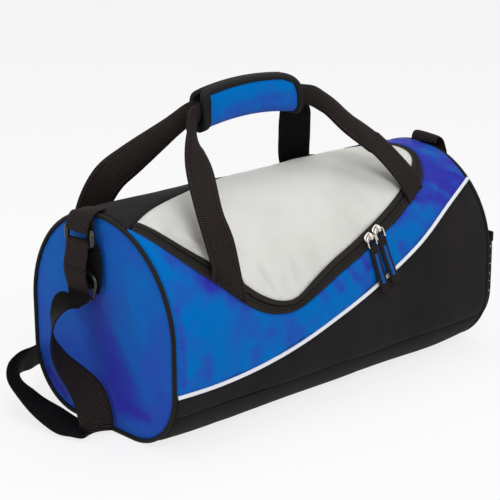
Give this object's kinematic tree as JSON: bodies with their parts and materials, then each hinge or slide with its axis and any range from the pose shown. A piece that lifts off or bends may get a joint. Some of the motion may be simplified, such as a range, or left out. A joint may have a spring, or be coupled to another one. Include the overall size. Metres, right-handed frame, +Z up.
{
  "type": "duffel bag",
  "caption": "Barrel duffel bag with a curved zipped lid, paired carry handles under a padded grip, and a shoulder strap on end rings.",
  "frame": {"origin": "middle of the flat bottom of the bag, on the surface that it stands on", "axes": "+X along the bag from the strap end with the tri-glide to the end with the net pocket, -Y is the front with the zipper pulls, +Z up"},
  "size_m": [0.6237, 0.3178, 0.365],
  "materials": {
    "blue_nylon": "satin woven nylon",
    "black_polyester": "matte woven polyester",
    "grey_polyester": "matte woven polyester",
    "white_cord": "satin piping cord",
    "black_webbing": "ribbed webbing",
    "black_net": "knitted net",
    "zip_plastic": "nylon coil",
    "nickel": "polished nickel plate",
    "black_plastic": "moulded plastic",
    "board": "stiff plastic board"
  },
  "bodies": {
    "body": {"front_blue_panel": "blue_nylon", "front_black_panel": "black_polyester", "back_panel": "black_polyester", "bottom_panel": "black_polyester", "left_end_panel": "blue_nylon", "right_end_panel": "blue_nylon", "left_end_piping": "black_polyester", "right_end_piping": "black_polyester", "white_piping": "white_cord", "lid_yoke": "grey_polyester", "body_zip_tape": "black_polyester", "body_zip_coil": "zip_plastic", "base_board": "board", "front_left_hem": "black_webbing", "front_right_hem": "black_webbing", "back_left_hem": "black_webbing", "back_right_hem": "black_webbing", "left_strap_tab": "black_webbing", "right_strap_tab": "black_webbing", "net_pocket": "black_net", "pocket_gusset": "black_net", "pocket_binding": "black_polyester", "shoulder_strap": "black_webbing"},
    "lid": {"lid_panel": "grey_polyester", "lid_zip_tape": "black_polyester", "lid_zip_coil": "zip_plastic"},
    "front_handle": {"front_handle": "black_webbing", "front_grip": "blue_nylon", "front_grip_binding": "black_polyester"},
    "back_handle": {"back_handle": "black_webbing", "back_grip": "blue_nylon"},
    "left_slider": {"left_slider": "nickel"},
    "right_slider": {"right_slider": "nickel"},
    "left_pull": {"left_pull_ring": "nickel", "left_pull_tab": "black_webbing", "left_pull_stripe": "blue_nylon"},
    "right_pull": {"right_pull_ring": "nickel", "right_pull_tab": "black_webbing", "right_pull_stripe": "blue_nylon"},
    "left_strap_end": {"left_ring": "black_plastic", "left_strap_loop": "black_webbing", "tri_glide": "black_plastic"},
    "right_strap_end": {"right_ring": "black_plastic", "right_strap_loop": "black_webbing"}
  },
  "joints": [
    {"name": "lid_open", "type": "hinge", "parent": "body", "child": "lid", "pos_m": [-0.038, -0.00237, 0.245], "axis": [-0.9804, -0.1969, 0], "range_deg": [0, 65], "deforming": ["front_handle"]},
    {"name": "front_handle_swing", "type": "hinge", "parent": "body", "child": "front_handle", "pos_m": [-0.17, -0.11439, 0.17382], "axis": [0.9891, 0.0861, 0.1197], "range_deg": [0, 137]},
    {"name": "back_handle_swing", "type": "hinge", "parent": "body", "child": "back_handle", "pos_m": [-0.17, 0.11439, 0.17382], "axis": [-0.9891, 0.0861, -0.1197], "range_deg": [0, 137]},
    {"name": "left_slider_run", "type": "slide", "parent": "body", "child": "left_slider", "axis": [-0.9323, -0.1703, -0.319], "range_m": [0, 0.02]},
    {"name": "right_slider_run", "type": "slide", "parent": "body", "child": "right_slider", "axis": [0.9288, 0.191, 0.3175], "range_m": [0, 0.02]},
    {"name": "left_pull_swing", "type": "hinge", "parent": "left_slider", "child": "left_pull", "pos_m": [0.048, -0.11398, 0.18184], "axis": [-0.9901, -0.0659, -0.1235], "range_deg": [0, 120]},
    {"name": "right_pull_swing", "type": "hinge", "parent": "right_slider", "child": "right_pull", "pos_m": [0.064, -0.11072, 0.18759], "axis": [-0.9901, -0.0722, -0.12], "range_deg": [0, 120]},
    {"name": "left_ring_swing", "type": "hinge", "parent": "body", "child": "left_strap_end", "pos_m": [-0.263, 0.018, 0.226], "axis": [0, 1, 0], "range_deg": [0, 35], "deforming": ["shoulder_strap"]},
    {"name": "right_ring_swing", "type": "hinge", "parent": "body", "child": "right_strap_end", "pos_m": [0.263, -0.018, 0.226], "axis": [0, -1, 0], "range_deg": [0, 35], "deforming": ["shoulder_strap"]}
  ],
  "couplings": [
    {"joint": "front_handle_swing", "follows": "lid_open", "ratio": 2.1}
  ]
}
